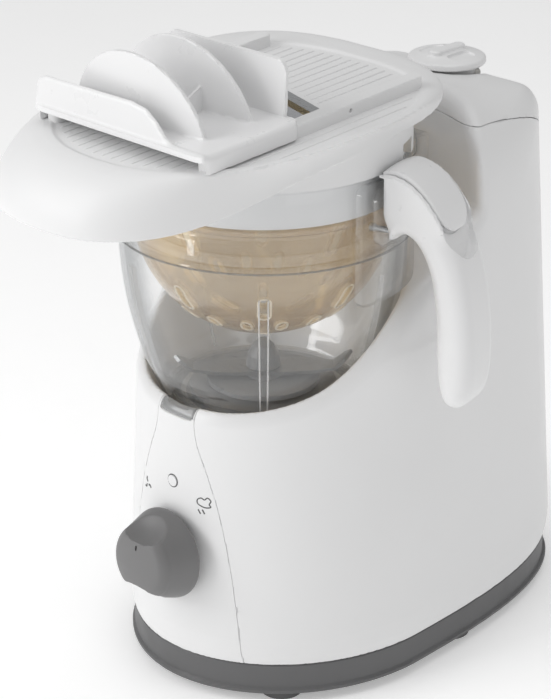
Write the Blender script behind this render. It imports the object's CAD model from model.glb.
# A steam cooker and blender: a housing with a boiler tower behind the jug, a knob on the front
# panel, a clear jug with a handle and a steam basket, and a slicer with its food pusher on top.
# The front faces -Y, the jug's handle points to +X turned a little to the rear, and +Z is up.
import bpy
import bmesh
import math
from functools import reduce
import numpy as np
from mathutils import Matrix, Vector

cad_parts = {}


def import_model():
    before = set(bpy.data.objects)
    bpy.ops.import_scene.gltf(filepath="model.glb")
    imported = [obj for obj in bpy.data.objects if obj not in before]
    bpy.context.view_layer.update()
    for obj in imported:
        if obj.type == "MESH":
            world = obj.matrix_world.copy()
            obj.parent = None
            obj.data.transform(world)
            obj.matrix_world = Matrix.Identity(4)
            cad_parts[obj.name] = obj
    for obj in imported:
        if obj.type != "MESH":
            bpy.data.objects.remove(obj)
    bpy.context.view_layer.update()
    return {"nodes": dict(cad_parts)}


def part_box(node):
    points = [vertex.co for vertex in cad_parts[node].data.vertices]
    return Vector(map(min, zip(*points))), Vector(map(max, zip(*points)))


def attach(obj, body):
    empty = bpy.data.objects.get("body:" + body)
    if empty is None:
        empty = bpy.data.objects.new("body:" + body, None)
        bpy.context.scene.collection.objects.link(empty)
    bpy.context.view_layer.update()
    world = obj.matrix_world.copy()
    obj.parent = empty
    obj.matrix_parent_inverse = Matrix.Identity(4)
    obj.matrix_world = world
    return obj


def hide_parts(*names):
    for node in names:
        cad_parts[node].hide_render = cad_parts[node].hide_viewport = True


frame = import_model()
scene = bpy.context.scene

# ---------------------------------------------------------------- frame
# Shapes are in millimetres about the upright drive axis; AXIS is its place in metres.
MM = 0.001
shaft_low, shaft_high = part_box("blade_shaft")
AXIS = np.array([(shaft_low[0] + shaft_high[0]) / 2, (shaft_low[1] + shaft_high[1]) / 2, 0.0])


def world(point):
    return np.asarray(point, float) * MM + AXIS


def cos_sin(degrees):
    return math.cos(math.radians(degrees)), math.sin(math.radians(degrees))


# ---------------------------------------------------------------- distance fields
# A field is negative inside its shape. A radius rounds the edge where two shapes meet.
FAR = 1e3


def length(*parts):
    return np.sqrt(sum(part * part for part in parts))


def meet(one, two, radius=None):
    """What lies in both shapes."""
    if radius is None:
        return np.maximum(one, two)
    corner = length(np.maximum(one + radius, 0), np.maximum(two + radius, 0))
    return np.minimum(-radius, np.maximum(one, two)) + corner


def join(one, two, radius=None):
    return -meet(-one, -two, radius)


def cut(one, two, radius=None):
    """The first shape without the second."""
    return meet(one, -two, radius)


def blend_meet(one, two, reach):
    near = np.maximum(reach - np.abs(one - two), 0) / reach
    return np.maximum(one, two) + near * near * reach * 0.25


def slab(value, half, centre=0):
    return np.abs(value - centre) - half


def box(place, half, radius=0.0):
    """A rectangle or a box about the origin, from its half sizes."""
    over = [np.abs(value) - size + radius for value, size in zip(place, half)]
    beyond = length(*(np.maximum(value, 0) for value in over))
    return beyond + np.minimum(reduce(np.maximum, over), 0) - radius


def spline(points, steps=6, closed=False):
    """A smooth curve through the points, with the given steps from each to the next."""
    points = np.array(points, float)
    curve = []
    count = len(points)
    for i in range(count if closed else count - 1):
        p1, p2 = points[i], points[(i + 1) % count]
        p0 = points[(i - 1) % count] if (closed or i > 0) else p1
        p3 = points[(i + 2) % count] if (closed or i + 2 < count) else p2
        for t in np.arange(steps) / steps:
            curve.append(0.5 * ((2 * p1) + (-p0 + p2) * t + (2 * p0 - 5 * p1 + 4 * p2 - p3) * t * t
                                + (-p0 + 3 * p1 - 3 * p2 + p3) * t ** 3))
    if not closed:
        curve.append(points[-1])
    return np.array(curve)


def outline_distance(x, y, outline):
    x, y = np.broadcast_arrays(x, y)
    nearest = np.full(x.shape, 1e9)
    sign = np.ones(x.shape)
    for i in range(len(outline)):
        start_x, start_y = outline[i]
        end_x, end_y = outline[i - 1]
        run_x, run_y = end_x - start_x, end_y - start_y
        square = run_x * run_x + run_y * run_y
        if square < 1e-12:
            continue
        off_x, off_y = x - start_x, y - start_y
        t = np.clip((off_x * run_x + off_y * run_y) / square, 0, 1)
        nearest = np.minimum(nearest, (off_x - run_x * t) ** 2 + (off_y - run_y * t) ** 2)
        above, below, left = y >= start_y, y < end_y, run_x * off_y > run_y * off_x
        crossed = (above & below & left) | (~above & ~below & ~left)
        sign = np.where(crossed, -sign, sign)
    return sign * np.sqrt(nearest)


class OutlineField:
    """The distance to a flat outline, looked up in a fine table."""

    def __init__(self, outline, pad, step):
        self.low = outline.min(0) - pad
        self.step = step
        self.count = np.ceil((outline.max(0) + pad - self.low) / step).astype(int) + 2
        xs, ys = (self.low[k] + step * np.arange(self.count[k]) for k in range(2))
        self.table = outline_distance(xs[:, None], ys[None, :], outline)

    def __call__(self, x, y):
        col = np.clip((x - self.low[0]) / self.step, 0, self.count[0] - 1.001)
        row = np.clip((y - self.low[1]) / self.step, 0, self.count[1] - 1.001)
        col, row = np.broadcast_arrays(col, row)
        i, j = col.astype(np.int32), row.astype(np.int32)
        u, v = col - i, row - j
        table = self.table
        return ((table[i, j] * (1 - u) + table[i + 1, j] * u) * (1 - v)
                + (table[i, j + 1] * (1 - u) + table[i + 1, j + 1] * u) * v)


def egg(x, y, centre, half_width, front, rear, front_power, rear_power):
    """Rough distance to a blunt egg outline, whose front half lies on the -Y side."""
    across, along = np.abs(x - centre[0]) / half_width, y - centre[1]
    in_front = along < 0
    power = np.where(in_front, front_power, rear_power)
    reach = np.where(in_front, front, rear)
    along = np.abs(along) / reach
    across = np.maximum(across, 1e-4)
    along = np.maximum(along, 1e-4)
    total = across ** power + along ** power
    scale = total ** (1 / power - 1)
    slope_x = scale * across ** (power - 1) / half_width
    slope_y = scale * along ** (power - 1) / reach
    return (total ** (1 / power) - 1) / length(slope_x, slope_y)


# ---------------------------------------------------------------- meshing
def at(field, points):
    return field(points[:, 0], points[:, 1], points[:, 2])


def gradient(field, points, reach):
    slope = np.empty_like(points)
    for k in range(3):
        ahead, behind = points.copy(), points.copy()
        ahead[:, k] += reach
        behind[:, k] -= reach
        slope[:, k] = (at(field, ahead) - at(field, behind)) / (2 * reach)
    return slope


def norm(vectors):
    return np.sqrt((vectors * vectors).sum(1))


def unit(vectors, least=1e-9):
    return vectors / np.maximum(norm(vectors), least)[:, None]


def sample(field, low, cell, count):
    """The field at every grid point, worked out in batches to save memory."""
    xs, ys, zs = (low[k] + cell * np.arange(count[k]) for k in range(3))
    values = np.empty(tuple(count), np.float32)
    step = max(1, int(1.2e6 // (count[1] * count[2])))
    for i in range(0, count[0], step):
        values[i:i + step] = field(xs[i:i + step, None, None], ys[None, :, None], zs[None, None, :])
    values[values == 0] = 1e-4
    return values


def crossings(field, values, low, cell, axis):
    """Where grid edges along one axis cross the surface, and the four cells round each."""
    count = values.shape
    side, other = (axis + 1) % 3, (axis + 2) % 3
    inside = values < 0
    lower, upper = [slice(None)] * 3, [slice(None)] * 3
    lower[axis], upper[axis] = slice(0, -1), slice(1, None)
    edges = np.argwhere(inside[tuple(lower)] != inside[tuple(upper)])
    for k in (side, other):
        edges = edges[(edges[:, k] > 0) & (edges[:, k] < count[k] - 1)]
    ends = edges.copy()
    ends[:, axis] += 1
    value_a = values[tuple(edges.T)].astype(float)
    value_b = values[tuple(ends.T)].astype(float)
    place_a, place_b = np.zeros(len(edges)), np.ones(len(edges))
    base = low + cell * edges

    def crossing():
        t = place_a + (place_b - place_a) * value_a / (value_a - value_b)
        points = base.copy()
        points[:, axis] += cell * t
        return t, points

    for _ in range(2):
        t, points = crossing()
        value = at(field, points)
        same = (value < 0) == (value_a < 0)
        place_a, value_a = np.where(same, t, place_a), np.where(same, value, value_a)
        place_b, value_b = np.where(same, place_b, t), np.where(same, value_b, value)
        value_b = np.where(value_a == value_b, value_b + 1e-9, value_b)
    points = crossing()[1]
    quads = []
    for step_side, step_other in ((-1, -1), (0, -1), (0, 0), (-1, 0)):
        corner = edges.copy()
        corner[:, side] += step_side
        corner[:, other] += step_other
        quads.append(np.ravel_multi_index(tuple(corner.T), tuple(k - 1 for k in count)))
    return points, unit(gradient(field, points, 0.05)), quads, inside[tuple(edges.T)]


def surface_net(field, low, high, cell):
    """Dual contouring: one vertex in each crossed cell, placed by the planes that cross it,
    so that edges stay crisp. Gives points, quads and corner normals."""
    low = np.array(low, float)
    count = np.ceil((np.array(high, float) - low) / cell).astype(int) + 1
    values = sample(field, low, cell, count)
    cells, points, normals, quads = [], [], [], []
    for axis in range(3):
        hits, slopes, corners, inside = crossings(field, values, low, cell, axis)
        cells += corners
        points += [hits] * 4
        normals += [slopes] * 4
        quad = np.stack(corners, 1)
        quad[~inside] = quad[~inside][:, ::-1]
        quads.append(quad)
    cells, points, normals = (np.concatenate(part) for part in (cells, points, normals))
    ids, owner = np.unique(cells, return_inverse=True)
    total = len(ids)

    def gather(weights):
        return np.bincount(owner, weights=weights, minlength=total)

    # the point of each cell that best fits its planes
    hit_count = gather(np.ones(len(owner)))
    centre = np.stack([gather(points[:, k]) for k in range(3)], 1) / hit_count[:, None]
    mean = np.stack([gather(normals[:, k]) for k in range(3)], 1) / hit_count[:, None]
    offset = (normals * (points - centre[owner])).sum(1)
    matrix = np.empty((total, 3, 3))
    right = np.empty((total, 3))
    for i in range(3):
        right[:, i] = gather(normals[:, i] * offset)
        for j in range(i, 3):
            matrix[:, i, j] = matrix[:, j, i] = gather(normals[:, i] * normals[:, j])
    matrix += np.eye(3)[None] * (0.04 * hit_count)[:, None, None]
    shift = np.linalg.solve(matrix, right[:, :, None])[:, :, 0]
    cell_low = low + cell * np.stack(np.unravel_index(ids, tuple(count - 1)), 1)
    verts = np.clip(centre + shift, cell_low - 0.02 * cell, cell_low + 1.02 * cell)

    # vertices away from edges are drawn onto the surface and take its own normal
    smooth = ~(norm(mean) < 0.965)
    loose = verts[smooth]
    slope = gradient(field, loose, 0.1)
    move = -(at(field, loose) / np.maximum((slope * slope).sum(1), 0.04))[:, None] * slope
    limit = np.minimum(1, 0.5 * cell / np.maximum(norm(move), 1e-9))
    verts[smooth] = loose + move * limit[:, None]
    normal = unit(mean)
    normal[smooth] = unit(gradient(field, verts[smooth], 0.15))

    # a corner on an edge takes the normal of its own face
    faces = np.searchsorted(ids, np.concatenate(quads))
    diagonals = [verts[faces[:, k + 2]] - verts[faces[:, k]] for k in range(2)]
    face_normal = unit(np.cross(*diagonals), 1e-12)
    near = (normal[faces] * face_normal[:, None, :]).sum(2) > 0.8
    good = smooth[faces] & near
    shared = (normal[faces] * good[:, :, None]).sum(1)
    has = good.any(1)
    shared[has] = unit(shared[has])
    shared[~has] = face_normal[~has]
    corner_normal = np.where(good[:, :, None], normal[faces], shared[:, None, :])
    return verts, faces, corner_normal.reshape(-1, 3)


def raw_mesh(name, verts, faces, normals=None):
    mesh = bpy.data.meshes.new(name)
    mesh.vertices.add(len(verts))
    mesh.vertices.foreach_set("co", world(verts).astype(np.float32).ravel())
    sides = faces.shape[1]
    mesh.loops.add(len(faces) * sides)
    mesh.loops.foreach_set("vertex_index", faces.ravel().astype(np.int32))
    mesh.polygons.add(len(faces))
    mesh.polygons.foreach_set("loop_start", np.arange(len(faces), dtype=np.int32) * sides)
    mesh.update(calc_edges=True)
    mesh.validate()
    mesh.polygons.foreach_set("use_smooth", np.ones(len(mesh.polygons), bool))
    # validate() may drop bad faces, and then the normals no longer match the corners
    if normals is not None and len(mesh.loops) == len(normals):
        mesh.normals_split_custom_set(normals.astype(np.float32).tolist())
    return mesh


def link(name, data):
    made = bpy.data.objects.new(name, data)
    scene.collection.objects.link(made)
    return made


def put(name, mesh, material, body, slot, replaces=False):
    """Adds a piece that rides on a body, and may replace the CAD piece named by its slot."""
    made = link(name, mesh)
    mesh.materials.append(material)
    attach(made, body)
    if replaces:
        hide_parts(slot)
    return made


def solid(name, field, low, high, material, body, slot, cell, replaces=False):
    """Meshes a field between two corners of a box, on a grid of the given cell size."""
    mesh = raw_mesh(name, *surface_net(field, low, high, cell))
    put(name, mesh, material, body, slot, replaces)


def fill_mesh(shape, mesh):
    bmesh.ops.recalc_face_normals(shape, faces=shape.faces)
    shape.to_mesh(mesh)
    shape.free()
    return mesh


def lathe(name, profile, material, body, slot, replaces=False, steps=224):
    """A closed outline of (radius, height) turned about the drive axis."""
    profile = np.array(profile, float)
    count = len(profile)
    angle = np.arange(steps) * 2 * math.pi / steps
    verts = np.empty((steps, count, 3))
    verts[:, :, 0] = np.cos(angle)[:, None] * profile[None, :, 0]
    verts[:, :, 1] = np.sin(angle)[:, None] * profile[None, :, 0]
    verts[:, :, 2] = profile[None, :, 1]
    i, j = np.meshgrid(np.arange(steps), np.arange(count), indexing="ij")
    after, above = (i + 1) % steps, (j + 1) % count
    faces = np.stack([i * count + j, after * count + j, after * count + above,
                      i * count + above], -1).reshape(-1, 4)
    mesh = raw_mesh(name, verts.reshape(-1, 3), faces)
    shape = bmesh.new()
    shape.from_mesh(mesh)
    bmesh.ops.remove_doubles(shape, verts=shape.verts, dist=1e-7)
    fill_mesh(shape, mesh)
    mesh.set_sharp_from_angle(angle=math.radians(32))
    put(name, mesh, material, body, slot, replaces)


# ---------------------------------------------------------------- shader helpers
def new_material(name):
    made = bpy.data.materials.new(name)
    made.use_nodes = True
    made.node_tree.nodes.clear()
    return made, made.node_tree


def add_node(tree, kind, inputs, **settings):
    """Adds a node; an input that is a socket is linked, any other is set as a value."""
    made = tree.nodes.new("ShaderNode" + kind)
    for name, value in settings.items():
        setattr(made, name, value)
    for key, value in inputs.items():
        if isinstance(value, bpy.types.NodeSocket):
            tree.links.new(value, made.inputs[key])
        else:
            made.inputs[key].default_value = value
    return made


def noise(tree, scale, detail=4.0, rough=0.5, stretch=None):
    place = add_node(tree, "TexCoord", {}).outputs["Object"]
    if stretch:
        place = add_node(tree, "Mapping", {"Scale": stretch, "Vector": place}).outputs["Vector"]
    inputs = {"Scale": scale, "Detail": detail, "Roughness": rough, "Vector": place}
    return add_node(tree, "TexNoise", inputs).outputs["Fac"]


def ramp(tree, value, start, end, low=0.3, high=0.7):
    """Takes low..high to start..end."""
    inputs = {"From Min": low, "From Max": high, "To Min": start, "To Max": end, "Value": value}
    return add_node(tree, "MapRange", inputs).outputs["Result"]


def mix_colour(tree, factor, one, two):
    inputs = {0: factor, 6: (*one, 1), 7: (*two, 1)}
    return add_node(tree, "Mix", inputs, data_type="RGBA").outputs[2]


def mix_shader(tree, factor, one, two):
    return add_node(tree, "MixShader", {0: factor, 1: one, 2: two}).outputs[0]


def facing(tree, inputs):
    return add_node(tree, "LayerWeight", {"Blend": 0.5, **inputs}).outputs["Facing"]


def bump(tree, height, strength, distance, normal=None):
    inputs = {"Strength": strength, "Distance": distance, "Height": height}
    if normal is not None:
        inputs["Normal"] = normal
    return add_node(tree, "Bump", inputs).outputs["Normal"]


def plastic(name, colour, rough=0.3, grain=0.06, grain_scale=2600, vary=0.02, coat=0.0,
            scatter=0.0, wave=0.0):
    """Moulded plastic: fine grain, slow waves, a little change in tone and gloss."""
    made, tree = new_material(name)
    slow = noise(tree, 14, detail=3)
    fine = noise(tree, grain_scale, detail=2)
    colour = np.array(colour)
    dark_tone = tuple(np.clip(colour * (1 - vary), 0, 1))
    light_tone = tuple(np.clip(colour * (1 + vary * 0.6), 0, 1))
    tone = mix_colour(tree, ramp(tree, slow, 0, 1, low=0.35, high=0.65), dark_tone, light_tone)
    gloss = ramp(tree, noise(tree, 60, detail=5, rough=0.6), rough * 0.88, rough * 1.14)
    waves = bump(tree, slow, wave, distance=0.0006) if wave else None
    normal = bump(tree, fine, grain, distance=0.00006, normal=waves)
    inputs = {"Base Color": tone, "Roughness": gloss, "Normal": normal}
    if coat:
        inputs.update({"Coat Weight": coat, "Coat Roughness": 0.08})
    if scatter:
        inputs.update({"Subsurface Weight": scatter, "Subsurface Scale": 0.5,
                       "Subsurface Radius": (0.004, 0.004, 0.0036)})
    shader = add_node(tree, "BsdfPrincipled", inputs).outputs[0]
    add_node(tree, "OutputMaterial", {0: shader})
    return made


def metal(name, colour, rough, stretch=(1, 60, 60), scale=60, aniso=0.5, strength=0.12):
    """Ground or drawn metal: long fine scratches and uneven gloss."""
    made, tree = new_material(name)
    lines = noise(tree, scale, detail=6, rough=0.7, stretch=stretch)
    colour = np.array(colour)
    light_tone = tuple(np.clip(colour * 1.06, 0, 1))
    shader = add_node(tree, "BsdfPrincipled", {
        "Base Color": mix_colour(tree, ramp(tree, lines, 0, 1), tuple(colour * 0.88), light_tone),
        "Roughness": ramp(tree, lines, rough * 0.7, rough * 1.4),
        "Normal": bump(tree, lines, strength, distance=0.00005),
        "Metallic": 1.0, "Anisotropic": aniso}).outputs[0]
    add_node(tree, "OutputMaterial", {0: shader})
    return made


def clear(name, tint, edge, shade, gloss=0.05, milk=0.0, milk_colour=(0.9, 0.9, 0.9), mirror=0.05):
    """Clear plastic: tint, darker glancing edges, a sharp reflection, flow lines, milkiness.
    Shade is the tint that its shadow takes."""
    made, tree = new_material(name)
    tone = mix_colour(tree, ramp(tree, facing(tree, {}), 0, 1, low=0.45, high=1.0), tint, edge)
    base = add_node(tree, "BsdfTransparent", {"Color": tone}).outputs[0]
    flow = noise(tree, 22, detail=3, stretch=(1, 1, 0.35))
    normal = bump(tree, flow, strength=0.10, distance=0.0012)
    reflection = add_node(tree, "BsdfGlossy", {
        "Roughness": ramp(tree, noise(tree, 90), gloss * 0.6, gloss * 1.6),
        "Normal": normal, "Color": (1, 1, 1, 1)}).outputs[0]
    glancing = add_node(tree, "Math", {0: facing(tree, {"Normal": normal}), 1: 4.0},
                        operation="POWER").outputs[0]
    reflect = ramp(tree, glancing, mirror, 0.8, low=0.0, high=1.0)
    if milk:
        milk_colour = np.array(milk_colour)
        cloud = mix_colour(tree, ramp(tree, noise(tree, 26), 0, 1), tuple(milk_colour * 0.93),
                           tuple(np.clip(milk_colour * 1.05, 0, 1)))
        diffuse, through = (add_node(tree, kind, {"Color": cloud}).outputs[0]
                            for kind in ("BsdfDiffuse", "BsdfTranslucent"))
        milky = mix_shader(tree, 0.5, diffuse, through)
        amount = ramp(tree, noise(tree, 40, detail=3), milk * 0.85, milk * 1.15)
        base = mix_shader(tree, amount, base, milky)
    seen = mix_shader(tree, reflect, base, reflection)
    in_shadow = add_node(tree, "LightPath", {}).outputs["Is Shadow Ray"]
    shadow = add_node(tree, "BsdfTransparent", {"Color": (*shade, 1)}).outputs[0]
    add_node(tree, "OutputMaterial", {0: mix_shader(tree, in_shadow, seen, shadow)})
    return made


# ---------------------------------------------------------------- materials
white = plastic("white_gloss", (0.84, 0.84, 0.842), rough=0.32, grain=0.03, vary=0.008,
                coat=0.15, wave=0.015)
white_satin = plastic("white_satin", (0.83, 0.83, 0.832), rough=0.42, grain=0.05, vary=0.008,
                      wave=0.01)
white_part = plastic("white_part", (0.85, 0.85, 0.853), grain=0.03, vary=0.008, coat=0.1)
grey = plastic("grey_satin", (0.125, 0.125, 0.127), rough=0.48, grain=0.12, grain_scale=3200,
               vary=0.05)
knob_grey = plastic("knob_satin", (0.185, 0.183, 0.184), rough=0.42, grain=0.10,
                    grain_scale=3400, vary=0.05)
dark = plastic("dark_nylon", (0.05, 0.05, 0.053), rough=0.5, grain=0.15, vary=0.08)
floor_grey = plastic("floor_grey", (0.21, 0.212, 0.216), vary=0.06)
hub_grey = plastic("hub_grey", (0.17, 0.172, 0.176), vary=0.06)
icon_grey = plastic("icon_ink", (0.10, 0.10, 0.102), rough=0.5, grain=0.05, vary=0.05)
natural = plastic("natural_nylon", (0.55, 0.54, 0.50), rough=0.45, grain=0.1, vary=0.05,
                  scatter=0.1)
rubber = plastic("rubber_dark", (0.03, 0.03, 0.031), rough=0.75, grain=0.25, grain_scale=1400,
                 vary=0.15)
foot_rubber = plastic("rubber_grey", (0.12, 0.12, 0.121), rough=0.7, grain=0.25,
                      grain_scale=1400, vary=0.12)
silicone = plastic("silicone", (0.62, 0.61, 0.58), rough=0.5, grain=0.12, vary=0.05, scatter=0.15)
board = plastic("circuit_board", (0.02, 0.12, 0.045), rough=0.4, grain=0.2, grain_scale=700,
                vary=0.3)
steel = metal("steel_ground", (0.62, 0.63, 0.64), rough=0.28)
steel_blade = metal("steel_polished", (0.66, 0.67, 0.69), rough=0.16, stretch=(60, 1, 60),
                    scale=40, strength=0.06)
steel_sheet = metal("steel_sheet", (0.50, 0.51, 0.52), rough=0.3, stretch=(2, 50, 50))
blade_dark = metal("steel_blade_dark", (0.30, 0.305, 0.31), rough=0.32, stretch=(4, 40, 40))
aluminium = metal("cast_aluminium", (0.58, 0.58, 0.59), rough=0.5, stretch=(1, 1, 1),
                  scale=300, aniso=0, strength=0.4)
rotor_steel = metal("rotor_steel", (0.42, 0.34, 0.28), rough=0.4, stretch=(1, 1, 40), scale=80)
bronze = metal("bronze", (0.50, 0.36, 0.18), rough=0.4, stretch=(1, 1, 1), scale=500, aniso=0,
               strength=0.3)
lacquer = metal("lacquered_steel", (0.16, 0.165, 0.17), rough=0.45, stretch=(1, 1, 30))
jug_clear = clear("jug_clear", tint=(0.985, 0.987, 0.988), edge=(0.52, 0.535, 0.545),
                  shade=(0.985, 0.985, 0.985), gloss=0.03, mirror=0.07)
jug_part = clear("jug_clear_ribs", tint=(0.975, 0.977, 0.978), edge=(0.55, 0.56, 0.57),
                 shade=(0.98, 0.98, 0.98), milk=0.02, mirror=0.07)
bead_grey = clear("jug_bead_shade", tint=(0.66, 0.665, 0.67), edge=(0.48, 0.485, 0.49),
                  shade=(0.97, 0.97, 0.97), gloss=0.1, milk=0.05, mirror=0.08)
rib_clear = clear("jug_rib_edges", tint=(0.94, 0.943, 0.945), edge=(0.5, 0.51, 0.52),
                  shade=(0.95, 0.95, 0.95), gloss=0.08, milk=0.42,
                  milk_colour=(0.93, 0.935, 0.94), mirror=0.12)
lens_clear = clear("lens_clear", tint=(0.80, 0.81, 0.82), edge=(0.5, 0.51, 0.52),
                   shade=(0.9, 0.905, 0.91), gloss=0.12, milk=0.35, milk_colour=(0.8, 0.8, 0.8))
rim_clear = clear("basket_slot_edges", tint=(0.95, 0.90, 0.80), edge=(0.72, 0.60, 0.42),
                  shade=(0.97, 0.96, 0.95), gloss=0.08, milk=0.85,
                  milk_colour=(0.97, 0.91, 0.79), mirror=0.14)
basket_clear = clear("basket_amber", tint=(0.93, 0.85, 0.68), edge=(0.70, 0.55, 0.34),
                     shade=(0.96, 0.95, 0.93), gloss=0.06, milk=0.17,
                     milk_colour=(0.90, 0.76, 0.54), mirror=0.09)

# CAD pieces that are not gloss white
CAD_MATERIALS = {
    "base_screws": steel, "cap_gasket": silicone, "boiler_tank": steel_sheet,
    "heater_plate": aluminium, "thermostat": dark, "steam_tube": silicone,
    "steam_nozzle": silicone, "motor_housing": lacquer, "motor_mount": natural,
    "mount_grommets": rubber, "motor_screws": steel, "motor_rotor": rotor_steel,
    "drive_dog": dark, "selector_switch": dark, "status_ring": white_part,
    "control_board": board, "interlock_switch": dark, "cable_gland": rubber,
    "mains_lead": rubber, "jug_floor": floor_grey, "floor_gasket": silicone,
    "handle_screws": steel, "lever_pin": steel, "lever_spring": steel, "shaft_bush": bronze,
    "shaft_seal": rubber, "blade_shaft": steel, "blade_hub": hub_grey,
    "chopping_blade": blade_dark, "driven_dog": dark, "slicer_insert": steel_sheet,
    "slicing_blade": steel_blade, "julienne_teeth": steel_blade, "pusher_pins": steel,
    "feet": foot_rubber,
}
for name, piece in frame["nodes"].items():
    material = CAD_MATERIALS.get(name, white)
    if len(piece.material_slots) == 0:
        piece.data.materials.append(material)
    for material_slot in piece.material_slots:
        material_slot.material = material

# ---------------------------------------------------------------- housing
# plan outline: half width, reach to front and rear of its centre, which is at y = MID
HALF_WIDTH, FRONT, REAR, MID = 85.8, 98.3, 165.0, 28.8
FRONT_POWER, REAR_POWER = 1.96, 2.82
FOOT_SCALE = 0.985
WALL = 3.0
SEAM = 22.0             # height where the housing meets the base tray
PANEL_BACK = -25        # the front panel lies on the -Y side of this
CAP_Y = 140             # upright axis of the boiler cap
KNOB = (1.0, -69, 78)   # centre of the knob's back face
KNOB_TILT = cos_sin(3.5)
# scale of the plan outline by height, with a steady taper above z = 35
SCALE_Z = np.array([0, 4, 22, 24, 28, 32, 36, 300, 400.0])
SCALE = np.array([FOOT_SCALE, 0.985, 0.986, 0.992, 0.998, 0.9995, 1.0]
                 + [1 - 0.1 * (z - 35) / 200 for z in (300, 400)])
# side view of the top: (y, z)
SIDE = spline([
    (-92, 160), (-62, 160), (-47, 163), (-33, 168), (-21, 173.5), (-12, 179.5), (-2, 187),
    (8, 195), (20, 204), (34, 212), (48, 217.5), (60, 222), (70, 228), (76.5, 236),
    (79.8, 246), (80.6, 266), (82, 281), (87, 289.6), (96, 292.8), (120, 291), (145, 287.5),
    (160, 281), (172, 271), (181, 256), (187, 238), (191, 215), (194, 190), (198, 150)], 5)
SIDE = np.vstack([SIDE, [[204, 10], [-92, 10]]])
# front view of the top, right half: (x, z)
BROW = spline([
    (84, 190), (82.6, 212), (80.4, 228), (78, 241), (74, 255), (68, 268.5), (59.5, 279.5),
    (48, 287.6), (34, 292.6), (18, 295), (0, 295.6)], 6)
BROW = np.vstack([BROW, BROW[::-1] * [-1, 1], [[-110, 180], [-110, 10], [110, 10], [110, 180]]])
# outer side of the jug: (radius, z)
JUG_LINE = [(50, 141.2), (52, 147), (54.6, 154), (58.3, 162), (62.4, 172.5), (66.2, 186),
            (69.2, 199), (71.2, 212), (72.5, 226), (73.1, 238)]
# the room that the housing leaves for the jug: (radius, z)
ROOM = np.vstack([[[-1, 140]], spline([(r + 1.2, z - 1.3) for r, z in JUG_LINE], 4),
                  [[77.5, 240], [77.5, 345], [-1, 345]]])
# edge of the front panel, right half: (x, z)
PANEL = spline([
    (40.6, 14), (40.2, 24), (38.6, 42), (36.8, 56), (34, 75), (29.6, 97), (25.6, 112),
    (19.8, 128), (15.2, 139), (13.3, 147), (12.6, 157), (12.4, 175)], 4)
PANEL = np.vstack([PANEL, PANEL[::-1] * [-1, 1]])
# side view of the tower cover: (y, z)
COVER = spline([
    (84.6, 310), (85.4, 296), (87.5, 284), (92, 279.2), (105, 279), (125, 277), (143, 272),
    (157, 263), (167, 248), (173, 230), (176.5, 205), (178, 170), (178.6, 120), (179, 50)], 5)
COVER = np.vstack([COVER, [[240, 50], [240, 310]]])
side_field = OutlineField(SIDE, 20, 1.0)
brow_field = OutlineField(BROW, 20, 1.0)
room_field = OutlineField(ROOM, 25, 1.0)
panel_field = OutlineField(PANEL, 30, 0.8)
cover_field = OutlineField(COVER, 30, 1.0)


def plan(x, y, scale):
    return egg(x, y, (0.0, MID), HALF_WIDTH * scale, FRONT * scale, REAR * scale,
               FRONT_POWER, REAR_POWER)


def housing(x, y, z):
    """The outside of the whole housing, with the jug's place scooped out."""
    top = blend_meet(side_field(y, z), brow_field(x, z), 7.0)
    mass = meet(plan(x, y, np.interp(z, SCALE_Z, SCALE)), top, 9.0)
    scoop = meet(length(x, y + 21) - 125, meet(238 - z, 78 - y, 3.0), 5.0)
    return cut(cut(mass, scoop, 9.0), room_field(length(x, y), z), 3.2)


def housing_shell(x, y, z):
    outer = housing(x, y, z)
    return cut(outer, outer + WALL, 0.4)


def above_seam(shape, z):
    return meet(shape, SEAM + 0.15 - z, 0.5)


def lens_window(x, z):
    return box((x, z - 163.8), (11.7, 11.6), 2.0)


def knob_xyz(x, y, z):
    """The knob's own frame: across, up its face, and out along its axis."""
    cos, sin = KNOB_TILT
    y, z = y - KNOB[1], z - KNOB[2]
    return x - KNOB[0], z * cos + y * sin, -y * cos + z * sin


def front_panel(x, y, z):
    shape = housing_shell(x, y, z)
    shape = meet(shape, meet(panel_field(x, z) + 0.1, y - PANEL_BACK), 0.28)
    across, up, out = knob_xyz(x, y, z)
    radius = length(across, up)
    shape = cut(shape, radius - 5.2, 0.5)
    shape = cut(shape, meet(radius - 27.2, -0.4 - out), 0.8)
    shape = cut(shape, lens_window(x, z), 0.6)
    # small round hole between knob and lens
    shape = cut(shape, length(x, z - 116.5) - 3.05, 0.3)
    return above_seam(shape, z)


def body_shell(x, y, z):
    shape = housing_shell(x, y, z)
    shape = cut(shape, meet(panel_field(x, z) - 0.1, y - PANEL_BACK), 0.28)
    shape = cut(shape, cover_field(y, z) - 0.3, 0.5)
    shape = cut(shape, meet(lens_window(x, z), y - PANEL_BACK), 0.6)
    # hole for the drive, and a level hole in the tower's front
    shape = cut(shape, meet(length(x, y) - 20, slab(z, 13, 132)), 0.4)
    shape = cut(shape, meet(length(x, z - 256) - 9.3, slab(y, 15, 105)), 0.6)
    return above_seam(shape, z)


def tower_cover(x, y, z):
    shape = meet(housing_shell(x, y, z), cover_field(y, z), 0.6)
    shape = cut(shape, meet(length(x, y - CAP_Y) - 20.4, 200 - z), 0.8)
    return above_seam(shape, z)


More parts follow.
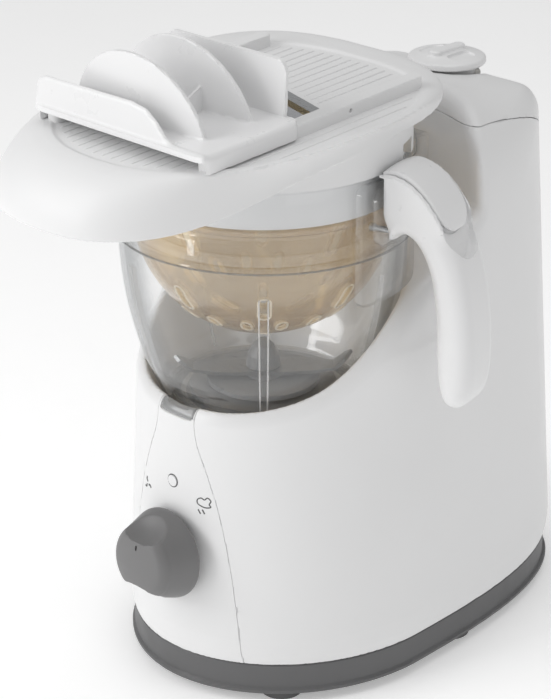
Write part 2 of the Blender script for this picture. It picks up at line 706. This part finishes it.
def base_tray(x, y, z):
    wall = plan(x, y, FOOT_SCALE)
    lip = meet(plan(x, y, 1), slab(z, 1.6, 6.6), 1.3)
    shape = join(meet(wall, slab(z, 8.45, 13.4), 1.2), lip, 0.8)
    shape = cut(shape, meet(wall + 2.8, 8.5 - z), 0.5)
    posts, holes = FAR, FAR
    # screw posts, each with a stepped hole
    for post_x, post_y in ((48, -22), (60, 140)):
        radius = length(np.abs(x) - post_x, y - post_y)
        posts = join(posts, meet(radius - 5, slab(z, 8, 14)))
        holes = join(holes, join(radius - 2.0, meet(radius - 3.8, z - 9.2)))
    # four solid posts round the drive axis
    radius = length(np.abs(x) - 26, np.abs(y) - 26)
    posts = join(posts, meet(radius - 6, slab(z, 8, 14)))
    # six plain round holes
    for hole_x, hole_y in ((46, -34), (70, 72), (44, 160)):
        holes = join(holes, length(np.abs(x) - hole_x, y - hole_y) - 4.2)
    shape = join(shape, meet(posts, z - 21.9))
    # a row of nine slots in the floor
    pitch = 8
    near_x = x - pitch * np.clip(np.round(x / pitch), -4, 4)
    slot = meet(box((near_x, y - 95), (2, 17), 1.9), z - 12)
    shape = cut(shape, join(holes, slot), 0.4)
    # round hole in the rear wall
    return cut(shape, meet(length(x - 30, z - 15) - 3.5, 150 - y), 0.4)


def indicator_lens(x, y, z):
    outer = housing(x, y, z)
    shape = cut(outer, outer + WALL, 0.5) + 0.15
    shape = meet(shape, box((x, z - 163.6), (11.3, 11.2), 2.2), 1.0)
    groove = box((x, z - 157.6), (7.5, 1.0), 0.9)
    return cut(shape, cut(groove, outer + 1.0), 0.4)


solid("body_shell_skin", body_shell, (-89, -72, 20.5), (89, 198, 297), white, "base",
      "body_shell", cell=1.45, replaces=True)
solid("front_panel_skin", front_panel, (-43, -73, 20), (43, -20, 168), white, "base",
      "front_panel", cell=1.0, replaces=True)
solid("tower_cover_skin", tower_cover, (-86, 82, 20.5), (86, 198, 298), white, "base",
      "tower_cover", cell=1.4, replaces=True)
solid("base_tray_skin", base_tray, (-88, -72, 3), (88, 197, 24), grey, "base",
      "base_tray", cell=1.15, replaces=True)
solid("indicator_lens_skin", indicator_lens, (-13, -74, 150), (13, -50, 163), lens_clear,
      "base", "indicator_lens", cell=0.7, replaces=True)


# ---------------------------------------------------------------- knob
def control_knob(x, y, z):
    across, up, out = knob_xyz(x, y, z)
    radius = length(across, up)
    cone = radius - np.interp(out, [0, 2.4, 5, 12, 18, 22, 26],
                              [24.0, 24.2, 23.5, 21.2, 19.4, 18.6, 18.0])
    shape = meet(cone * 0.96, meet(out - 25.0 + 0.0075 * radius * radius, 0.6 - out), 3.6)
    # scoops above and below leave a broad grip across the middle
    for side in (1, -1):
        scoop = length(across / 1.42, up * side - 27.8, out - 24.0) - 15.8
        shape = cut(shape, scoop, 0.8)
    mark = box((across, up - 9.2), (0.55, 1.3), 0.5)
    shape = cut(shape, meet(mark, 22.6 - out), 0.3)
    return join(shape, meet(radius - 3, slab(out, 12.4, -11)))


solid("control_knob_skin", control_knob, (-25, -97, 51), (27, -43, 105), knob_grey, "knob",
      "control_knob", cell=0.8, replaces=True)


# ---------------------------------------------------------------- boiler cap
def boiler_cap(x, y, z):
    y = y - CAP_Y
    radius = length(x, y)
    disc = meet(radius - 20.8, meet(z - (297.2 - 0.006 * radius * radius), 291.1 - z), 1.3)
    bar = meet(box((x, y), (3.4, 12.4), 3.0), slab(z, 2.9, 296.2), 1.0)
    dips = meet(box((np.abs(x) - 9.6, y), (4.2, 8.5), 4.0), 295.2 - z, 0.8)
    shape = cut(join(disc, bar, 1.2), dips, 0.8)
    plug = meet(radius - 14.9, slab(z, 12, 280))
    return join(shape, cut(plug, meet(radius - 12, z - 288)))


solid("boiler_cap_skin", boiler_cap, (-23, 117, 266), (23, 163, 301), white_part, "cap",
      "boiler_cap", cell=0.8, replaces=True)

# ---------------------------------------------------------------- jug
HANDLE_ANGLE = 12       # degrees from +X towards +Y
HANDLE_COS, HANDLE_SIN = cos_sin(HANDLE_ANGLE)
JUG_WALL = 2.5
jug_outer = spline([(50, 146.3)] + JUG_LINE[1:], 5)
jug_inner = np.array([(r - JUG_WALL, z + (1.6 if z < 156 else 0.6)) for r, z in jug_outer])[::-1]
# the wall's section with its bead and rim: (radius, z)
JUG_PROFILE = np.vstack([
    [[38, 146.35], [49.6, 146.35]], jug_outer,
    [[73.2, 238.9], [74.6, 239.2], [75.7, 239.7], [76.0, 240.6], [75.7, 241.5], [74.6, 242.1],
     [73.4, 242.6], [73.0, 250], [73.0, 262], [73.2, 278.4], [72.9, 279.4], [72.2, 279.95],
     [71.6, 279.95], [70.9, 279.3], [70.7, 278], [70.8, 257.0], [70.4, 256.5], [69.0, 256.4],
     [68.6, 256.0], [68.55, 254.2], [68.8, 253.4], [70.3, 251]],
    jug_inner, [[49.4, 149.0], [46, 148.9], [38, 148.9]]])
BEAD = [(75.3, 239.2), (75.9, 239.35), (76.12, 239.8), (76.12, 240.25), (75.5, 240.3)]
lathe("jug_wall", JUG_PROFILE, jug_clear, "jug_body", "jug", replaces=True)
lathe("jug_bead_edge", BEAD, bead_grey, "jug_body", "jug")


def handle_xyz(x, y, z):
    """The handle's frame: outwards from the drive axis, sideways, and height."""
    return x * HANDLE_COS + y * HANDLE_SIN, -x * HANDLE_SIN + y * HANDLE_COS, z


def jug_flange(x, y, z):
    """Curved plate on the jug behind the handle."""
    out, side, z = handle_xyz(x, y, z)
    face = meet(slab(side, 26.5), meet(slab(z, 31.3, 247), -out, 1), 5.0)
    return meet(slab(length(x, y), 1.75, 75.1), face, 0.7)


def jug_duct(x, y, z):
    """Flat rectangular duct on the jug's rear side."""
    shape = box((x, z - 257), (26, 11), 2.5)
    shape = cut(shape, box((x, z - 257), (24, 9), 1.6), 0.3)
    return meet(shape, meet(73.3 - length(x, y), y - 96.4), 0.7)


def handle_pad(x, y, z):
    """Smaller curved plate outside the flange."""
    _, side, z = handle_xyz(x, y, z)
    face = meet(slab(side, 20.6), slab(z, 15.0, 261), 7.0)
    return meet(slab(length(x, y), 1.75, 79.0), face, 1.0)


def jug_rib(name, outline, angle, half_thick=0.42, bevel=0.3):
    """A thin upright rib: an outline of (radius, z) at an angle about the drive axis."""
    cos, sin = cos_sin(angle)
    shape = bmesh.new()
    rows = []
    for side in (-half_thick, half_thick):
        rows.append([shape.verts.new(world((r * cos - side * sin, r * sin + side * cos, z)))
                     for r, z in outline])
    shape.faces.new(rows[0][::-1])
    shape.faces.new(rows[1])
    for i in range(len(outline)):
        j = (i + 1) % len(outline)
        shape.faces.new((rows[0][i], rows[0][j], rows[1][j], rows[1][i]))
    mesh = fill_mesh(shape, bpy.data.meshes.new(name))
    edge = put(name, mesh, rib_clear, "jug_body", "jug").modifiers.new("edge", "BEVEL")
    edge.width = bevel * MM
    edge.segments = 2
    edge.limit_method = "ANGLE"
    edge.angle_limit = math.radians(50)


solid("jug_flange", jug_flange, (56, -16, 213), (80, 48, 281), jug_part, "jug_body", "jug",
      cell=0.8)
solid("jug_duct", jug_duct, (-28, 60, 244), (28, 98, 270), jug_part, "jug_body", "jug", cell=0.85)
rib_outer = spline([(52.0, 151), (56, 160), (60.6, 172.5), (64.3, 186), (67.2, 199),
                    (69.1, 212), (70.2, 224)], 3)
# the ribs are deepest half way up
rib_inner = np.array([(r - 2.4 - 1.2 * math.sin(math.pi * i / (len(rib_outer) - 1)), z)
                      for i, (r, z) in enumerate(rib_outer)])[::-1]
rib_outline = np.vstack([rib_outer, rib_inner])
for i, angle in enumerate((-47.3, -43.6, -118, -114.5, HANDLE_ANGLE, 165)):
    jug_rib("jug_rib_%d" % (i + 1), rib_outline, angle)
solid("handle_pad", handle_pad, (64, -12, 243), (84, 42, 279), jug_part, "jug_body", "jug",
      cell=0.75)

# ---------------------------------------------------------------- handle and thumb lever
PIN_OUT, PIN_Z = 86, 268
PIN_HOLE = 1.6
# side views in the handle's frame: (out, z)
HANDLE = spline([
    (74.9, 281.6), (80, 282.4), (84, 282.2), (90, 280.6), (96, 276.9), (102, 271.2),
    (108, 263.4), (113, 254), (118, 242.6), (122.4, 226), (124.9, 207), (125.4, 189),
    (124.0, 176.5), (120.6, 169.6), (115.6, 166.9), (110.6, 169.2), (107.4, 176.5),
    (105.8, 191), (105.0, 211), (102, 231), (98, 242.4), (93.2, 249.2), (88.4, 252.2),
    (83.6, 250.6), (80.4, 248.0), (77.6, 247.4)], 5)
HANDLE = np.vstack([HANDLE, [[77.6, 270], [77.6, 280.4], [74.9, 280.4]]])
TROUGH = np.array([
    (60, 263.6), (91.8, 263.6), (92.6, 272.6), (96.4, 270.2), (101.5, 266), (105.6, 260.4),
    (108.4, 254.4), (110.6, 248.5), (113.6, 243.5), (140, 240), (140, 310), (60, 310)])
LEVER = spline([
    (75.6, 283.4), (79.5, 284.9), (84, 285.0), (90, 283.2), (96, 279.6), (102, 273.8),
    (107, 266.8), (110.4, 258.6), (110.2, 256.9), (109.2, 257.2), (105.4, 263.6),
    (100.2, 270.0), (94.6, 274.8), (90.2, 277.6), (84, 280.6), (79, 281.4), (75.6, 281.4)], 5)
handle_field = OutlineField(HANDLE, 25, 0.7)
trough_field = OutlineField(TROUGH, 25, 0.7)
lever_field = OutlineField(LEVER, 20, 0.5)


def lever_body(out, side, z):
    half = 13.7 * np.sqrt(np.clip(1 - (np.maximum(270 - z, 0) / 13.6) ** 2.4, 1e-4, 1))
    shape = meet(lever_field(out, z + 0.006 * side * side), slab(side, half) * 0.85, 1.4)
    web = meet(box((out - 86.2, z - 271.6), (3.5, 6.2), 2.5), slab(side, 12.6), 0.6)
    return join(shape, web, 1.0)


def jug_handle(x, y, z):
    out, side, z = handle_xyz(x, y, z)
    half = np.interp(z, [160, 172, 182, 200, 235, 258, 275, 290],
                     [13.6, 14.8, 15.3, 15.6, 15.8, 16.0, 16.4, 16.4])
    # round grip below, crisper edges at the top
    outline, width = handle_field(out, z), slab(side, half)
    t = np.clip((z - 250) / 14, 0, 1)
    t = t * t * (3 - 2 * t)
    shape = meet(outline, width, 8.6) * (1 - t) + meet(outline, width, 1.6) * t
    radius = length(x, y)
    shape = meet(shape, np.where(z > 280.3, 74.9 - radius, 77.15 - radius))
    half = 14.15 * np.sqrt(np.clip(1 - (np.maximum(261 - z, 0) / 17.5) ** 2, 1e-4, 1))
    shape = cut(shape, meet(trough_field(out, z), slab(side, half) * 0.85, 1.2), 0.5)
    # room for the lever when it is pressed
    off_out, off_z = out - PIN_OUT, z - PIN_Z
    for press in (2.5, 5.0):
        cos, sin = cos_sin(press)
        pressed = lever_body(PIN_OUT + off_out * cos - off_z * sin, side,
                             PIN_Z + off_out * sin + off_z * cos)
        shape = cut(shape, pressed - 0.7, 0.3)
    # upright pocket, two level screw holes and the pin's hole
    shape = cut(shape, meet(length(out - 99.5, side) - 3.4, slab(z, 14, 262)), 0.5)
    for screw in (-11, 11):
        shape = cut(shape, meet(length(side - screw, z - 253) - 1.55, out - 83), 0.2)
    return cut(shape, meet(length(off_out, off_z) - PIN_HOLE, slab(side, 15.4)), 0.3)


def thumb_lever(x, y, z):
    out, side, z = handle_xyz(x, y, z)
    shape = meet(lever_body(out, side, z), 75.0 - length(x, y))
    return cut(shape, length(out - PIN_OUT, z - PIN_Z) - PIN_HOLE, 0.3)


solid("jug_handle_grip", jug_handle, (66, -12, 164), (127, 48, 285), white_part, "jug_body",
      "jug_handle", cell=0.95, replaces=True)
solid("thumb_lever_skin", thumb_lever, (70, -3, 254), (113, 40, 286.5), white_part, "lever",
      "thumb_lever", cell=0.7, replaces=True)

# ---------------------------------------------------------------- basket
BOWL_RADIUS, BOWL_DEPTH, BOWL_TOP = 67.5, 74, 258
INNER_RADIUS, INNER_DEPTH = 65.6, 72.1
bowl_angles = [math.radians(90 * i / 32) for i in range(33)]
bowl_outer = np.array([(BOWL_RADIUS * max(math.sin(angle), 0) ** 0.9,
                        BOWL_TOP - BOWL_DEPTH * max(math.cos(angle), 0) ** 0.95)
                       for angle in bowl_angles])
bowl_inner = np.array([(r * INNER_RADIUS / BOWL_RADIUS,
                        BOWL_TOP - (BOWL_TOP - z) * INNER_DEPTH / BOWL_DEPTH)
                       for r, z in bowl_outer])
# the bowl's section with its rim: (radius, z)
BOWL = np.vstack([
    [[-2, 184]], bowl_outer[1:], [[67.8, 256.6], [70.4, 256.6], [70.4, 259.1], [66, 259.1]],
    bowl_inner[::-1][:-1], [[-2, 185.9]]])
bowl_field = OutlineField(BOWL, 12, 0.4)
SLOT_START = -45
# side slots: count, first angle, middle z, half height, half width, least radius
SIDE_SLOTS = ((8, SLOT_START, 213.5, 6.6, 2.5, 40),
              (16, SLOT_START + 11.25, 199.5, 3.0, 2.0, 30))


def nearest_turn(x, y, count, start):
    """The angle from the nearest of the evenly spaced slots."""
    step = 2 * math.pi / count
    turn = np.arctan2(y, x) - math.radians(start)
    return turn - np.round(turn / step) * step


def basket_slots(x, y, z):
    radius = length(x, y)
    holes = FAR
    for count, start, middle, half_z, half, least in SIDE_SLOTS:
        turn = nearest_turn(x, y, count, start)
        slot = box((radius * np.sin(turn), z - middle), (half, half_z), half * 0.98)
        holes = join(holes, meet(slot, least - radius))
    # six slots that point outwards in the bottom, and a round hole in the middle
    turn = nearest_turn(x, y, 6, SLOT_START)
    slot = box((radius * np.cos(turn) - 22, radius * np.sin(turn)), (7, 1.9), 1.85)
    holes = join(holes, meet(slot, z - 196))
    return join(holes, meet(radius - 3, z - 190))


def steam_basket(x, y, z):
    return cut(bowl_field(length(x, y), z) - 0.02, basket_slots(x, y, z), 0.5)


def slot_rims(x, y, z):
    """A low collar round every slot."""
    collar = slab(basket_slots(x, y, z), 0.55, 0.62)
    return meet(collar, bowl_field(length(x, y), z) - 0.5, 0.4)


solid("steam_basket_bowl", steam_basket, (-72, -72, 182.5), (72, 72, 260.5), basket_clear,
      "basket", "steam_basket", cell=0.85, replaces=True)
solid("basket_slot_rims", slot_rims, (-66, -66, 183), (66, 66, 222.5), rim_clear, "basket",
      "steam_basket", cell=0.55)

# ---------------------------------------------------------------- slicer
DECK_Z = 305            # height of the deck's plane at the drive axis
DECK_SLOPE, RIM_SLOPE = math.tan(math.radians(2.9)), math.tan(math.radians(7.2))
DECK_COS, DECK_SIN = cos_sin(2.9)
CUTTER_COS, CUTTER_SIN = cos_sin(16.5)
CUTTER_HALF = 47.5      # half the width of the cutter's opening
CUTTER_Y = -9
RAIL_X = CUTTER_HALF + 4.25


def deck_xyz(x, y, z):
    """The sloping deck's own frame."""
    z = z - DECK_Z
    return x, y * DECK_COS + z * DECK_SIN, -y * DECK_SIN + z * DECK_COS


def deck_out(x, y, z):
    """From the deck's own frame back to the millimetre frame."""
    return x, y * DECK_COS - z * DECK_SIN, DECK_Z + y * DECK_SIN + z * DECK_COS


def rim_z(y):
    """Height of the lower rim, which dips towards the front."""
    t = np.clip((-35 - y) / 85, 0, 1)
    return 295.0 + RIM_SLOPE * y - 7.5 * t * t * (3 - 2 * t)


def apron(x, y, z, shrink=0.0):
    """The flared outside, from the deck's egg outline down to a wider one at the rim."""
    low = rim_z(y) + 1.6
    top = 306.0 + DECK_SLOPE * y
    t = np.clip((z - low - 1.5) / np.maximum(top - low - 1.5, 2.4), 0, 1)
    flare = np.maximum(1 - t ** 1.75, 0) ** (1 / 1.45)

    def mix(deck, rim):
        return deck + (rim - deck) * flare

    return egg(x, y, (mix(0.0, -10.0), mix(-13.0, 20.0)), mix(79.8, 84.0) - shrink,
               mix(103.8, 160.0) - shrink, mix(86.3, 66.0) - shrink, mix(2.3, 2.6), mix(2.7, 2.6))


def slicer_collar(x, y, z, up):
    """The two-step ring under the deck, with a round hole behind and a notch."""
    radius = length(x, y)
    shape = join(meet(radius - 74.3, 280.15 - z), meet(radius - 70.0, 260.3 - z))
    shape = meet(shape, up + 2.6, 0.5)
    shape = cut(shape, radius - 67.7, 0.7)
    shape = cut(shape, meet(length(x, z - 257) - 9.1, 60 - y), 0.6)
    cos, sin = cos_sin(20)
    notch = (x * cos + y * sin - 76, -x * sin + y * cos - 7.5, z - 283)
    return cut(shape, box(notch, (9, 7.2, 6), 0.8), 0.6)


def slicer_plate(x, y, z):
    side, along, up = deck_xyz(x, y, z)
    shape = meet(apron(x, y, z) * 0.85, up - 0.9, 1.6)
    shape = meet(shape, rim_z(y) - z, 1.6)
    under = meet(apron(x, y, z + 4.0, shrink=4.2) * 0.85, up + 4.2, 3.0)
    shape = cut(shape, under, 1.0)
    floor_egg = egg(side, along, (0.0, -13.0), 75.6, 99.6, 82.6, 2.3, 2.7)
    shape = cut(shape, meet(floor_egg, -up, 2.5), 0.8)
    # seat round the cutter
    seat = box((side, along + 10, up + 3.4), (CUTTER_HALF + 6, 26, 3.2), 0.6)
    shape = join(join(shape, seat), slicer_collar(x, y, z, up), 1.0)
    # cutter recess, slanted in plan, and the opening through it
    turned_x = CUTTER_COS * side - CUTTER_SIN * (along - CUTTER_Y)
    turned_y = CUTTER_SIN * side + CUTTER_COS * (along - CUTTER_Y)
    recess = meet(slab(side, CUTTER_HALF - 0.3), slab(turned_y, 20.1, 1))
    shape = cut(shape, meet(recess, slab(up, 6.0, 2)))
    opening = meet(slab(turned_x, 38), slab(turned_y, 15, 1))
    return cut(shape, meet(opening, slab(up, 12, -6)))


def slicer_rail(x, y, z):
    side, along, up = deck_xyz(x, y, z)
    shape = meet(slab(np.abs(side) - RAIL_X, 4.2), slab(along, 74, -18), 3.0)
    shape = meet(shape, slab(up, 4.1, 2.35), 0.9)
    dimple = length(along - 3, up - 3.4) - 1.0
    return cut(shape, meet(dimple, 54.5 - np.abs(side)), 0.3)


def deck_rib(shape, x, start, end):
    """A low rounded rib along the deck, tapered at both ends."""
    if end - start < 4:
        return
    section = [(-0.55, -0.15), (-0.42, 0.32), (-0.18, 0.5), (0.18, 0.5), (0.42, 0.32),
               (0.55, -0.15)]
    rows = []
    for y, size in ((start, 0.35), (start + 1.2, 1.0), (end - 1.2, 1.0), (end, 0.35)):
        rows.append([shape.verts.new(world(deck_out(
            x + side * (0.6 + 0.4 * size), y, up * size if up > 0 else up)))
            for side, up in section])
    for row, after in zip(rows, rows[1:]):
        for i in range(6):
            j = (i + 1) % 6
            shape.faces.new((row[i], after[i], after[j], row[j]))
    shape.faces.new(rows[0])
    shape.faces.new(rows[-1][::-1])


def deck_span(x):
    """Where the deck's ribs start and end in y."""
    across = min(abs(x) / 74.0, 0.9999)
    front = (1 - across ** 2.3) ** (1 / 2.3)
    rear = (1 - across ** 2.7) ** (1 / 2.7)
    return -13 - 98 * front + 4, -13 + 81 * rear - 4


def deck_ribs(pitch=6.1):
    shape = bmesh.new()
    for x in [k * pitch for k in range(-11, 12)]:
        start, end = deck_span(x)
        if abs(abs(x) - RAIL_X) < 5.6:
            continue
        if abs(x) < CUTTER_HALF:
            # in two parts, before and behind the cutter
            deck_rib(shape, x, start, CUTTER_Y + (-20.2 - CUTTER_SIN * x) / CUTTER_COS - 1.5)
            deck_rib(shape, x, CUTTER_Y + (22.2 - CUTTER_SIN * x) / CUTTER_COS + 1.5, end)
        else:
            deck_rib(shape, x, start, end)
    mesh = fill_mesh(shape, bpy.data.meshes.new("slicer_deck_ribs"))
    for face in mesh.polygons:
        face.use_smooth = True
    mesh.set_sharp_from_angle(angle=math.radians(50))
    put("slicer_deck_ribs", mesh, white_satin, "slicer", "slicer_plate")


solid("slicer_plate_skin", slicer_plate, (-96, -142, 258), (81, 89, 313), white_satin,
      "slicer", "slicer_plate", cell=1.15, replaces=True)
for tag, left, right in (("right", 46.5, 57.5), ("left", -57.5, -46.5)):
    solid("slicer_rail_" + tag, slicer_rail, (left, -94, 296), (right, 58, 316.5),
          white_satin, "slicer", "slicer_plate", cell=0.85)
deck_ribs()

# ---------------------------------------------------------------- pusher
PUSHER_FRONT = -97.0    # its front edge, along the deck
PUSHER_HALF = 58.7
PUSHER_INNER = 56.4


def food_pusher(x, y, z):
    side, along, up = deck_xyz(x, y, z)
    along = along - PUSHER_FRONT
    shell = meet(slab(side, PUSHER_HALF), up - 9.6, 3.6)
    inner = meet(slab(side, PUSHER_INNER), up - 7.2, 2.0)
    outline = box((side, along - 32), (PUSHER_HALF, 32), 7.0)
    shape = meet(meet(cut(shell, inner, 0.3), outline, 0.8), 1.0 - up, 0.8)
    edge = meet(slab(side, 56.35), 6.62 - up)
    shape = join(shape, meet(edge, meet(outline, up - 9.5), 0.4))
    # two upright half-round walls, curved in plan
    for wall in (16.0, 46.0):
        off_x = side + 2
        curve = 3.2 * (off_x / 44) ** 2
        disc = length(off_x, up - 9.4 - 17 + 28.47) - 45.47
        fin = meet(slab(along - wall - curve + 1.6, 1.15), meet(disc, 8.6 - up, 1.0), 0.9)
        shape = join(shape, fin, 1.6)
    # front guard: leans back and sweeps down at its right end
    guard_top = np.interp(side, [-70, -58, -54, 6, 16, 24, 31, 38, 60],
                          [12.5, 12.5, 14.5, 15.0, 13.6, 9.2, 3.6, 0.8, 0.8])
    lean = 0.25 * (up - 8)
    guard = meet(slab(along - 1.9 - lean, 1.25), (up - 8.6 - guard_top) * 0.75, 1.1)
    guard = meet(guard, meet(meet(-58.4 - side, side - 57), 6.8 - up, 1.5), 1.2)
    shape = join(shape, guard, 1.4)
    # back guard: a taller rounded panel
    panel = meet(box((side - 10, up - 21.4), (40, 15.4), 6.5), 7.3 - up, 0.3)
    shape = join(shape, meet(slab(along - 61.6 - 0.10 * (up - 8), 1.2), panel, 0.9), 1.4)
    # small gusset between the walls
    slope = up - (9 + 14 * np.clip((along - 16) / 30, 0, 1))
    gusset = meet(slab(side, 0.9, 12), meet(slab(along, 14.6, 31), slope), 0.5)
    shape = join(shape, gusset, 0.8)
    # clear of the rails it rides on
    shape = cut(shape, meet(slab(side, PUSHER_INNER), up - 6.75), 0.2)
    # three rows of four small holes
    holes = FAR
    for i in range(3):
        for j in range(4):
            holes = join(holes, length(side + 27 - j * 18, along - 22 - i * 9) - 0.86)
    return cut(shape, meet(holes, up - 8.6))


solid("food_pusher_skin", food_pusher, (-61, -103, 296), (61, -29, 349), white_part, "pusher",
      "food_pusher", cell=0.85, replaces=True)


# ---------------------------------------------------------------- front pictograms
def panel_y(x, z):
    """The y of the front panel's face."""
    scale = float(np.interp(z, SCALE_Z, SCALE))
    across = min(abs(x) / (HALF_WIDTH * scale), 0.999)
    return MID - FRONT * scale * (1 - across ** FRONT_POWER) ** (1 / FRONT_POWER)


def stroke(ink, points, width, closed=False, lift=0.12, sink=0.25):
    """A printed line that lies on the panel, given by points in x and z."""
    path = spline(points, 4, closed) if len(points) > 2 else np.array(points, float)
    count = len(path)
    sections = []
    for i in range(count):
        before = path[(i - 1) % count] if (closed or i > 0) else path[i]
        after = path[(i + 1) % count] if (closed or i < count - 1) else path[i]
        run = after - before
        run = run / max(np.linalg.norm(run), 1e-9)
        half = np.array([-run[1], run[0]]) * width / 2
        section = []
        for x, z in (path[i] + half, path[i] - half):
            y = panel_y(x, z)
            section.append(ink.verts.new(world((x, y - lift, z))))
            section.append(ink.verts.new(world((x, y + sink, z))))
        sections.append(section)
    for i in range(count if closed else count - 1):
        one, two = sections[i], sections[(i + 1) % count]
        ink.faces.new((one[0], two[0], two[2], one[2]))
        ink.faces.new((one[0], one[1], two[1], two[0]))
        ink.faces.new((one[2], two[2], two[3], one[3]))
        ink.faces.new((one[1], one[3], two[3], two[1]))
    if not closed:
        ink.faces.new([sections[0][k] for k in (0, 2, 3, 1)])
        ink.faces.new([sections[-1][k] for k in (0, 1, 3, 2)])


def pictograms():
    ink = bmesh.new()
    ring = [(3.35 * math.cos(t), 116.5 + 3.35 * math.sin(t))
            for t in np.linspace(0, 2 * math.pi, 25)[:-1]]
    stroke(ink, ring, 0.5, closed=True)
    # three short vanes round a centre; each point is (radius, turn)
    for k in range(3):
        angle = math.radians(90 + 120 * k)
        stroke(ink, [(-22 + r * math.cos(angle + turn), 106 + r * math.sin(angle + turn))
                     for r, turn in ((1.0, 0), (2.4, 0.5), (3.6, 0.2))], 1.0)
    # a cloud outline with two lines under it
    cloud = [(16.4, 108.6), (16.0, 110.8), (18.0, 112.2), (20.0, 111.6), (21.6, 113.0),
             (23.4, 111.6), (22.6, 109.6), (23.4, 108.2), (20.2, 107.4)]
    stroke(ink, cloud, 0.6, closed=True)
    stroke(ink, [(16.6, 105.6), (18.0, 103.4)], 0.7)
    stroke(ink, [(18.9, 106.0), (20.3, 103.8)], 0.7)
    mesh = fill_mesh(ink, bpy.data.meshes.new("panel_pictograms"))
    put("panel_pictograms", mesh, icon_grey, "base", "control_knob")


pictograms()


# ---------------------------------------------------------------- stage
def floor_material():
    """Bright paper that is clear when seen from below, so that the underside shows."""
    paper = plastic("floor_paper", (0.95, 0.95, 0.95), rough=0.8, grain=0.05, grain_scale=300,
                    vary=0.005)
    tree = paper.node_tree
    shader = tree.nodes["Principled BSDF"]
    shader.inputs["Emission Color"].default_value = (1, 1, 1, 1)
    shader.inputs["Emission Strength"].default_value = 0.28
    below = add_node(tree, "NewGeometry", {}).outputs["Backfacing"]
    seen = add_node(tree, "LightPath", {}).outputs["Is Camera Ray"]
    factor = add_node(tree, "Math", {0: below, 1: seen}, operation="MULTIPLY").outputs[0]
    see_through = add_node(tree, "BsdfTransparent", {}).outputs[0]
    mixed = mix_shader(tree, factor, shader.outputs[0], see_through)
    tree.links.new(mixed, tree.nodes["Material Output"].inputs["Surface"])
    return paper


def floor(half=9, z=-0.0002):
    """A square in metres, just under the feet."""
    shape = bmesh.new()
    corners = ((-half, -half), (half, -half), (half, half), (-half, half))
    shape.faces.new([shape.verts.new((x, y, z)) for x, y in corners])
    mesh = fill_mesh(shape, bpy.data.meshes.new("floor"))
    for face in mesh.polygons:
        face.use_smooth = True
    made = link("floor", mesh)
    mesh.materials.append(floor_material())


def studio_world(ambient=0.42, backdrop=0.95):
    """White all round, and brighter to the camera than as a light."""
    studio = bpy.data.worlds.new("studio")
    scene.world = studio
    studio.use_nodes = True
    tree = studio.node_tree
    background = tree.nodes["Background"]
    background.inputs["Color"].default_value = (1, 1, 1, 1)
    background.inputs["Strength"].default_value = ambient
    seen = add_node(tree, "LightPath", {}).outputs["Is Camera Ray"]
    strength = ramp(tree, seen, ambient, backdrop, low=0.0, high=1.0)
    tree.links.new(strength, background.inputs["Strength"])


def area_light(name, place, size, power):
    """A rectangular light aimed at the middle of the machine, in metres and watts."""
    light = bpy.data.lights.new(name, "AREA")
    light.shape = "RECTANGLE"
    light.size, light.size_y = size
    light.energy = power
    made = link(name, light)
    made.location = place
    aim = Vector((0, 0, 0.17)) - Vector(place)
    made.rotation_euler = aim.to_track_quat("-Z", "Y").to_euler()


def camera(turn, rise, distance, target, lens):
    """Looks at the target from the front right; angles in degrees, lengths in mm."""
    data = bpy.data.cameras.new("camera")
    made = link("camera", data)
    turn_cos, turn_sin = cos_sin(turn)
    rise_cos, rise_sin = cos_sin(rise)
    back = np.array([turn_sin * rise_cos, -turn_cos * rise_cos, rise_sin])
    made.location = Vector(world(np.array(target) + distance * back))
    made.rotation_euler = (-Vector(back)).to_track_quat("-Z", "Y").to_euler()
    data.sensor_width = 36
    data.lens = lens
    data.clip_start, data.clip_end = 0.05, 20
    scene.camera = made


floor()
studio_world()
area_light("key_left", (-0.75, -1.25, 1.0), size=(0.9, 1.1), power=9.5)
area_light("top", (0.1, -0.1, 1.6), size=(1.2, 1.2), power=4.8)
area_light("strip_left", (-0.35, -1.5, 0.4), size=(0.16, 1.0), power=2.2)
area_light("fill_right", (1.4, -0.3, 0.5), size=(1.0, 1.0), power=1.0)
camera(turn=44.1, rise=23.95, distance=1241.26, target=(-19.24, 28.8, 152.74), lens=120.61802575)
scene.view_settings.view_transform = "Standard"
scene.cycles.transparent_max_bounces = 48
